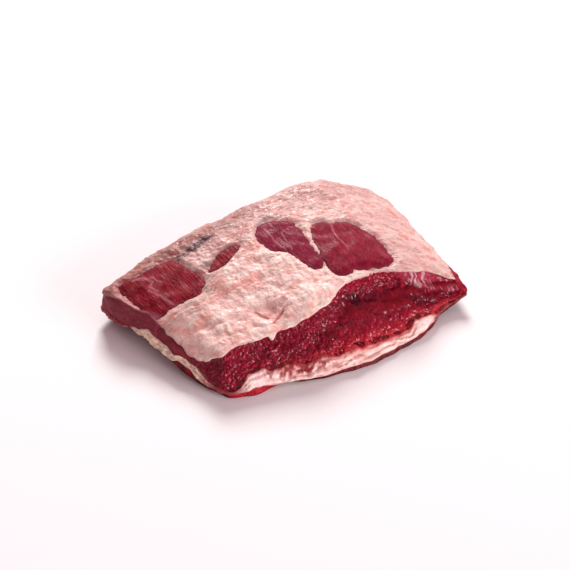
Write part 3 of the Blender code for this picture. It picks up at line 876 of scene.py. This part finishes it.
def build_lower_lean(skin):
    """The thin sheet of lean underneath."""
    band = Band(skin, LOWER)
    lift = cut_relief(band.places)[0] * 0.6 - 0.2
    fields = {"pale": band.front * smooth_step(0.3, 0.12, band.u)}
    return layer_between("lower_lean_sheet", band, floor_share, seam_foot_share, lift, fields, {})


def build_pieces():
    skin = Skin()
    # Below the lean nothing is trimmed open
    open_distance = np.full(len(skin.places), 50.0)
    high = slice(BORDER_LEVELS[LEAN] * RING, None)
    open_distance[high] = patch_distance(skin.places[high])
    return (
        build_fat(skin, open_distance),
        build_lean(skin, open_distance),
        build_seam(skin),
        build_lower_lean(skin),
    )


# Materials

def colour(red, green, blue):
    """A screen colour of 0 to 255 as the light values a shader works with."""
    light = (((c / 255 + 0.055) / 1.055) ** 2.4 if c > 10 else c / 3295 for c in (red, green, blue))
    return (*light, 1.0)


def add(tree, kind, inputs=None, **settings):
    """A node with its settings, and its inputs as values or as sockets to link."""
    made = tree.nodes.new(kind)
    for name, value in settings.items():
        setattr(made, name, value)
    for name, value in (inputs or {}).items():
        if isinstance(value, bpy.types.NodeSocket):
            tree.links.new(value, made.inputs[name])
        else:
            made.inputs[name].default_value = value
    return made


def feed(tree, node, **inputs):
    """Sets or links a node's inputs; underscores in their names stand for spaces."""
    for name, value in inputs.items():
        socket = node.inputs[name.replace("_", " ")]
        if isinstance(value, bpy.types.NodeSocket):
            tree.links.new(value, socket)
        else:
            socket.default_value = value


def maths(tree, operation, first, second=0.5):
    return add(tree, "ShaderNodeMath", {0: first, 1: second}, operation=operation).outputs[0]


def blend(tree, share, under, over, mode="MIX"):
    """One colour laid over another."""
    made = add(tree, "ShaderNodeMix", {0: share, 6: under, 7: over}, data_type="RGBA", blend_type=mode)
    return made.outputs[2]


def field(tree, name):
    return add(tree, "ShaderNodeAttribute", attribute_name=name).outputs["Fac"]


def lay(tree, base, *coats):
    """Lays coats over a colour, each a mask or the name of a field, its strength and a screen colour."""
    for mask, strength, shade in coats:
        if isinstance(mask, str):
            mask = field(tree, mask)
        base = blend(tree, maths(tree, "MULTIPLY", mask, strength), base, colour(*shade))
    return base


def remap(tree, value, low, high, to_low=0.0, to_high=1.0):
    inputs = {"Value": value, "From Min": low, "From Max": high, "To Min": to_low, "To Max": to_high}
    return add(tree, "ShaderNodeMapRange", inputs, interpolation_type="SMOOTHSTEP").outputs[0]


def cloud(tree, place, scale, **inputs):
    """Cloudy noise, about 0.5 in the mean."""
    return add(tree, "ShaderNodeTexNoise", {"Vector": place, "Scale": scale, **inputs}).outputs[0]


def stretched_place(tree, stretch_x=1.0, stretch_y=1.0):
    """Object coordinates in millimetres, squeezed along the axes."""
    place = add(tree, "ShaderNodeTexCoord").outputs["Object"]
    squeeze = add(tree, "ShaderNodeCombineXYZ", {0: stretch_x, 1: stretch_y, 2: 1.0}).outputs[0]
    for factor in ((1 / MM, 1 / MM, 1 / MM), squeeze):
        place = add(tree, "ShaderNodeVectorMath", {0: place, 1: factor}, operation="MULTIPLY").outputs[0]
    return place


def new_group(name, inputs, outputs):
    """A node group with named numbers going in and out; returns its tree and their sockets inside it."""
    tree = bpy.data.node_groups.new(name, "ShaderNodeTree")
    for socket_name, value in inputs.items():
        socket = tree.interface.new_socket(socket_name, in_out="INPUT", socket_type="NodeSocketFloat")
        socket.default_value = value
    for socket_name in outputs:
        tree.interface.new_socket(socket_name, in_out="OUTPUT", socket_type="NodeSocketFloat")
    return tree, tree.nodes.new("NodeGroupInput").outputs, tree.nodes.new("NodeGroupOutput").inputs


def use(tree, group, **inputs):
    """Places a group in a material with its own values and returns its outputs."""
    made = tree.nodes.new("ShaderNodeGroup")
    made.node_tree = bpy.data.node_groups[group]
    feed(tree, made, **inputs)
    return made.outputs


def mask(tree, group, **inputs):
    return use(tree, group, **inputs)["Mask"]


def mottle_group():
    """Soft patches of a given size in millimetres."""
    tree, given, out = new_group("soft mottle", {"Size": 8.0, "Low": 0.4, "High": 0.6}, ["Mask"])
    scale = maths(tree, "DIVIDE", 1.0, given["Size"])
    patches = cloud(tree, stretched_place(tree), scale, Detail=4.0, Roughness=0.6)
    tree.links.new(remap(tree, patches, given["Low"], given["High"]), out["Mask"])


def streak_group():
    """Streaks that run along the muscle from front to back, or across it."""
    numbers = {"Size": 1.2, "Squeeze X": 1.0, "Squeeze Y": 0.06, "Low": 0.45, "High": 0.65}
    tree, given, out = new_group("streaks", numbers, ["Mask"])
    place = stretched_place(tree, given["Squeeze X"], given["Squeeze Y"])
    streaks = cloud(tree, place, maths(tree, "DIVIDE", 1.0, given["Size"]), Detail=3.0, Distortion=0.4)
    tree.links.new(remap(tree, streaks, given["Low"], given["High"]), out["Mask"])


def vessel_group():
    """Thin branching lines."""
    tree, given, out = new_group("fine vessels", {"Size": 9.0, "Width": 0.03, "Squeeze X": 0.6}, ["Mask"])
    place = stretched_place(tree, given["Squeeze X"])
    lines = cloud(tree, place, maths(tree, "DIVIDE", 1.0, given["Size"]), Detail=3.0, Distortion=1.2)
    ridge = maths(tree, "ABSOLUTE", maths(tree, "SUBTRACT", lines, 0.5))
    line = remap(tree, ridge, 0.0, given["Width"], 1.0, 0.0)
    patchy = remap(tree, cloud(tree, place, 0.09, Detail=2.0), 0.45, 0.62)
    tree.links.new(maths(tree, "MULTIPLY", line, patchy), out["Mask"])


def wet_group():
    """The fine uneven surface of wet meat and fat, as a height and a roughness."""
    numbers = {"Size": 1.0, "Dry": 0.5, "Wet": 0.25}
    tree, given, out = new_group("wet grain", numbers, ["Height", "Roughness"])
    place = stretched_place(tree)
    grain = cloud(tree, place, maths(tree, "DIVIDE", 1.0, given["Size"]), Detail=4.0)
    share = remap(tree, cloud(tree, place, 0.13, Detail=3.0), 0.38, 0.62)
    dry = maths(tree, "MULTIPLY", share, given["Dry"])
    wet = maths(tree, "MULTIPLY", maths(tree, "SUBTRACT", 1.0, share), given["Wet"])
    tree.links.new(grain, out["Height"])
    tree.links.new(maths(tree, "ADD", dry, wet), out["Roughness"])


def new_material(name):
    made = bpy.data.materials.new(name)
    made.use_nodes = True
    return made, made.node_tree, made.node_tree.nodes["Principled BSDF"]


def bump(tree, height, strength, distance):
    inputs = {"Strength": strength, "Distance": distance, "Height": height}
    return add(tree, "ShaderNodeBump", inputs).outputs[0]


def fat_material():
    made, tree, shader = new_material("fat_look")
    broad = mask(tree, "soft mottle", Size=26.0, Low=0.38, High=0.6)
    small = mask(tree, "soft mottle", Size=7.0, Low=0.42, High=0.64)
    white = mask(tree, "soft mottle", Size=3.2, Low=0.56, High=0.72)
    smear = mask(tree, "streaks", Size=5.0, Squeeze_X=0.35, Squeeze_Y=1.0, Low=0.5, High=0.68)
    line = mask(tree, "fine vessels", Size=11.0, Width=0.035, Squeeze_X=0.6)
    base = lay(
        tree,
        blend(tree, broad, colour(234, 216, 204), colour(230, 205, 196)),
        (small, 0.35, (212, 158, 152)),
        (smear, 0.3, (222, 154, 140)),
        (white, 0.3, (240, 220, 212)),
        ("tan", 0.8, (168, 122, 108)),
        (line, 0.5, (204, 104, 96)),
        ("blood", 0.5, (218, 122, 110)),
        # painted shade in the low places of the relief and along the creases
        ("painted_crease_shade", 0.42, (194, 118, 110)),
        ("thin", 0.55, (186, 136, 134)),
        ("sliver", 0.7, (178, 104, 104)),
        ("bruise", 0.9, (88, 54, 66)),
    )
    # painted shade: the fat is multiplied darker towards the right and the back, where the key light falls
    # most strongly
    painted_shade = maths(tree, "MULTIPLY", field(tree, "painted_shade"), 0.75)
    grain = use(tree, "wet grain", Size=2.8, Dry=0.65, Wet=0.42)
    sparkle = mask(tree, "soft mottle", Size=4.0, Low=0.5, High=0.6)
    feed(
        tree,
        shader,
        Base_Color=blend(tree, painted_shade, base, colour(210, 190, 192), "MULTIPLY"),
        Roughness=grain["Roughness"],
        Normal=bump(tree, grain["Height"], 0.75, 0.0013),
        Subsurface_Weight=0.12,
        Subsurface_Radius=(1.0, 0.45, 0.3),
        Subsurface_Scale=0.002,
        Coat_Weight=maths(tree, "MULTIPLY", sparkle, 0.16),
        Coat_Roughness=0.18,
        Specular_IOR_Level=0.12,
    )
    return made


def lean_material():
    made, tree, shader = new_material("lean_look")
    cut = field(tree, "cut")
    fibres = mask(tree, "streaks", Size=1.5, Squeeze_X=1.0, Squeeze_Y=0.05, Low=0.42, High=0.66)
    pale_lines = mask(tree, "streaks", Size=2.6, Squeeze_X=1.0, Squeeze_Y=0.04, Low=0.6, High=0.68)
    clouds = mask(tree, "soft mottle", Size=12.0, Low=0.38, High=0.62)
    flecks = mask(tree, "soft mottle", Size=2.0, Low=0.64, High=0.7)
    web = mask(tree, "fine vessels", Size=5.0, Width=0.05, Squeeze_X=0.8)
    smooth = lay(
        tree,
        blend(tree, clouds, colour(122, 14, 28), colour(144, 22, 40)),
        (fibres, 0.6, (98, 14, 26)),
        (pale_lines, 0.25, (186, 92, 98)),
        ("rose", 0.75, (122, 20, 52)),
    )
    torn = lay(
        tree,
        blend(tree, field(tree, "tint"), colour(98, 10, 30), colour(180, 28, 60)),
        (clouds, 0.35, (120, 14, 36)),
        # painted shade: the sunken gaps between the torn bundles are darkened
        (maths(tree, "SUBTRACT", 1.0, field(tree, "bundle")), 0.45, (62, 6, 16)),
        (web, 0.22, (168, 56, 70)),
        # painted light on the lower bulge and the rim lip, and the right tip's own brighter red
        ("painted_light_and_red_tip", 0.6, (172, 22, 44)),
        (flecks, 0.3, (216, 130, 136)),
        # painted shade: the hollow groove across the cut face is darkened
        ("groove", 0.85, (72, 8, 22)),
        ("foot", 0.7, (192, 52, 58)),
    )
    strip = blend(tree, field(tree, "stripes"), colour(192, 70, 98), colour(250, 216, 222))
    torn = blend(tree, maths(tree, "MULTIPLY", field(tree, "strip"), 0.95), torn, strip)
    base = lay(
        tree,
        blend(tree, cut, smooth, torn),
        ("silver", 0.7, (186, 122, 132)),
        # painted shade along the borders of the openings, under the fat's edge
        ("edge", 0.5, (118, 50, 62)),
        # painted shade: the left end, turned away from the key light, is greyed towards mauve
        ("painted_shade", 0.5, (140, 76, 88)),
    )
    grain = use(tree, "wet grain", Size=1.1, Dry=0.62, Wet=0.34)
    height = maths(tree, "ADD", maths(tree, "MULTIPLY", fibres, 0.4), grain["Height"])
    sparkle = maths(tree, "MULTIPLY", mask(tree, "soft mottle", Size=2.2, Low=0.5, High=0.58), cut)
    feed(
        tree,
        shader,
        Base_Color=base,
        Roughness=grain["Roughness"],
        Normal=bump(tree, height, 0.7, 0.001),
        Subsurface_Weight=0.08,
        Subsurface_Radius=(1.0, 0.3, 0.25),
        Subsurface_Scale=0.002,
        Coat_Weight=maths(tree, "ADD", maths(tree, "MULTIPLY", sparkle, 0.9), 0.02),
        Coat_Roughness=0.12,
        Specular_IOR_Level=0.04,
    )
    return made


def seam_material():
    made, tree, shader = new_material("seam_fat_look")
    layers = mask(tree, "streaks", Size=2.4, Squeeze_X=0.12, Squeeze_Y=0.6, Low=0.46, High=0.66)
    stain = mask(tree, "soft mottle", Size=9.0, Low=0.48, High=0.66)
    line = mask(tree, "fine vessels", Size=7.0, Width=0.04, Squeeze_X=0.4)
    base = lay(
        tree,
        blend(tree, layers, colour(244, 218, 208), colour(230, 180, 172)),
        (stain, 0.3, (206, 118, 108)),
        # painted shade in the low places between the strands
        ("strand", 0.3, (196, 110, 104)),
        (line, 0.4, (170, 50, 56)),
        ("split", 0.7, (160, 46, 56)),
        ("warm", 0.85, (196, 66, 66)),
        (remap(tree, field(tree, "level"), 0.7, 1.0), 0.6, (202, 76, 76)),
        ("pale", 0.9, (255, 224, 220)),
        ("beige", 0.8, (244, 222, 194)),
        ("lean", 0.9, (142, 26, 44)),
    )
    grain = use(tree, "wet grain", Size=1.4, Dry=0.5, Wet=0.3)
    feed(
        tree,
        shader,
        Base_Color=base,
        Roughness=grain["Roughness"],
        Normal=bump(tree, grain["Height"], 0.5, 0.0008),
        Subsurface_Weight=0.2,
        Subsurface_Radius=(1.0, 0.45, 0.3),
        Subsurface_Scale=0.003,
        Coat_Weight=0.04,
        Coat_Roughness=0.2,
        Specular_IOR_Level=0.25,
    )
    return made


def lower_material():
    made, tree, shader = new_material("lower_lean_look")
    fibres = mask(tree, "streaks", Size=1.6, Squeeze_X=1.0, Squeeze_Y=0.1, Low=0.42, High=0.66)
    stain = mask(tree, "soft mottle", Size=8.0, Low=0.42, High=0.62)
    base = lay(
        tree,
        blend(tree, stain, colour(96, 14, 24), colour(128, 24, 36)),
        (fibres, 0.5, (70, 8, 16)),
        ("pale", 0.8, (176, 26, 44)),
    )
    grain = use(tree, "wet grain", Size=1.2, Dry=0.42, Wet=0.2)
    feed(
        tree,
        shader,
        Base_Color=base,
        Roughness=grain["Roughness"],
        Normal=bump(tree, grain["Height"], 0.6, 0.0009),
        Subsurface_Weight=0.08,
        Subsurface_Scale=0.002,
        Coat_Weight=0.03,
        Coat_Roughness=0.12,
        Specular_IOR_Level=0.14,
    )
    return made


# Stage, light and camera

CAMERA_AIM = (0, 0, 30)
CAMERA_AZIMUTH, CAMERA_ELEVATION, CAMERA_DISTANCE = -32, 35, 1260
LENS, SENSOR_WIDTH, CLIP_START = 85, 36, 0.05
KEY_DIRECTION, KEY_SIZE, KEY_POWER = (0.39, 0.73, 0.56), 1.3, 240
FRONT_DIRECTION, FRONT_SIZE, FRONT_POWER = (0.45, -1.0, 0.2), 2.5, 182
LIGHT_DISTANCE, LIGHT_AIM, LIGHT_COLOUR = 4.0, Vector((0, 0, 0.03)), (1.0, 0.99, 0.98)
FILL_COLOUR, FILL_STRENGTH = (1.0, 0.66, 0.73), 0.45
FLOOR_REACH, FLOOR_DROP, FLOOR_COLOUR = 6.0, 0.0004, (0.8, 0.8, 0.8, 1)


def in_frame(x, y, z):
    return Vector(((x - PLAN_MIDDLE[0]) * MM, (y - PLAN_MIDDLE[1]) * MM, z * MM))


def add_camera():
    data = bpy.data.cameras.new("camera")
    data.lens = LENS
    data.sensor_width = SENSOR_WIDTH
    data.clip_start = CLIP_START
    camera = bpy.data.objects.new("camera", data)
    a, e = math.radians(CAMERA_AZIMUTH), math.radians(CAMERA_ELEVATION)
    back = Vector((math.sin(a) * math.cos(e), -math.cos(a) * math.cos(e), math.sin(e)))
    camera.location = in_frame(*CAMERA_AIM) + back * CAMERA_DISTANCE * MM
    camera.rotation_euler = back.to_track_quat("Z", "Y").to_euler()
    bpy.context.scene.collection.objects.link(camera)
    bpy.context.scene.camera = camera


def add_light(name, direction, size, power):
    data = bpy.data.lights.new(name, "AREA")
    data.shape = "SQUARE"
    data.size = size
    data.energy = power
    data.color = LIGHT_COLOUR
    light = bpy.data.objects.new(name, data)
    towards = Vector(direction).normalized()
    light.location = towards * LIGHT_DISTANCE + LIGHT_AIM
    light.rotation_euler = towards.to_track_quat("Z", "Y").to_euler()
    bpy.context.scene.collection.objects.link(light)


def add_floor():
    mesh = bpy.data.meshes.new("floor")
    corners = [(x * FLOOR_REACH, y * FLOOR_REACH, 0) for x, y in ((-1, -1), (1, -1), (1, 1), (-1, 1))]
    mesh.from_pydata(corners, [], [(0, 1, 2, 3)])
    floor = bpy.data.objects.new("floor", mesh)
    floor.location.z = -FLOOR_DROP
    bpy.context.scene.collection.objects.link(floor)
    made, tree, shader = new_material("floor_white")
    feed(tree, shader, Base_Color=FLOOR_COLOUR, Roughness=0.9, Specular_IOR_Level=0.0)
    mesh.materials.append(made)


def add_stage():
    scene = bpy.context.scene
    scene.view_settings.view_transform = "Standard"
    add_floor()
    world = bpy.data.worlds.new("studio")
    world.use_nodes = True
    background = world.node_tree.nodes["Background"]
    feed(world.node_tree, background, Color=(*FILL_COLOUR, 1), Strength=FILL_STRENGTH)
    scene.world = world
    add_light("key", KEY_DIRECTION, KEY_SIZE, KEY_POWER)
    add_light("front", FRONT_DIRECTION, FRONT_SIZE, FRONT_POWER)


def main():
    pieces = build_pieces()
    for make_group in (mottle_group, streak_group, vessel_group, wet_group):
        make_group()
    looks = (fat_material, lean_material, seam_material, lower_material)
    places = (("fat_cap", "fat"), ("lean", "lean"), ("seam_fat", "seam_fat"), ("lower_lean", "dark_lean"))
    for piece, look, (node, slot) in zip(pieces, looks, places):
        piece.data.materials.append(look())
        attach(piece, "root")
        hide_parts(node)
    add_stage()
    add_camera()


main()
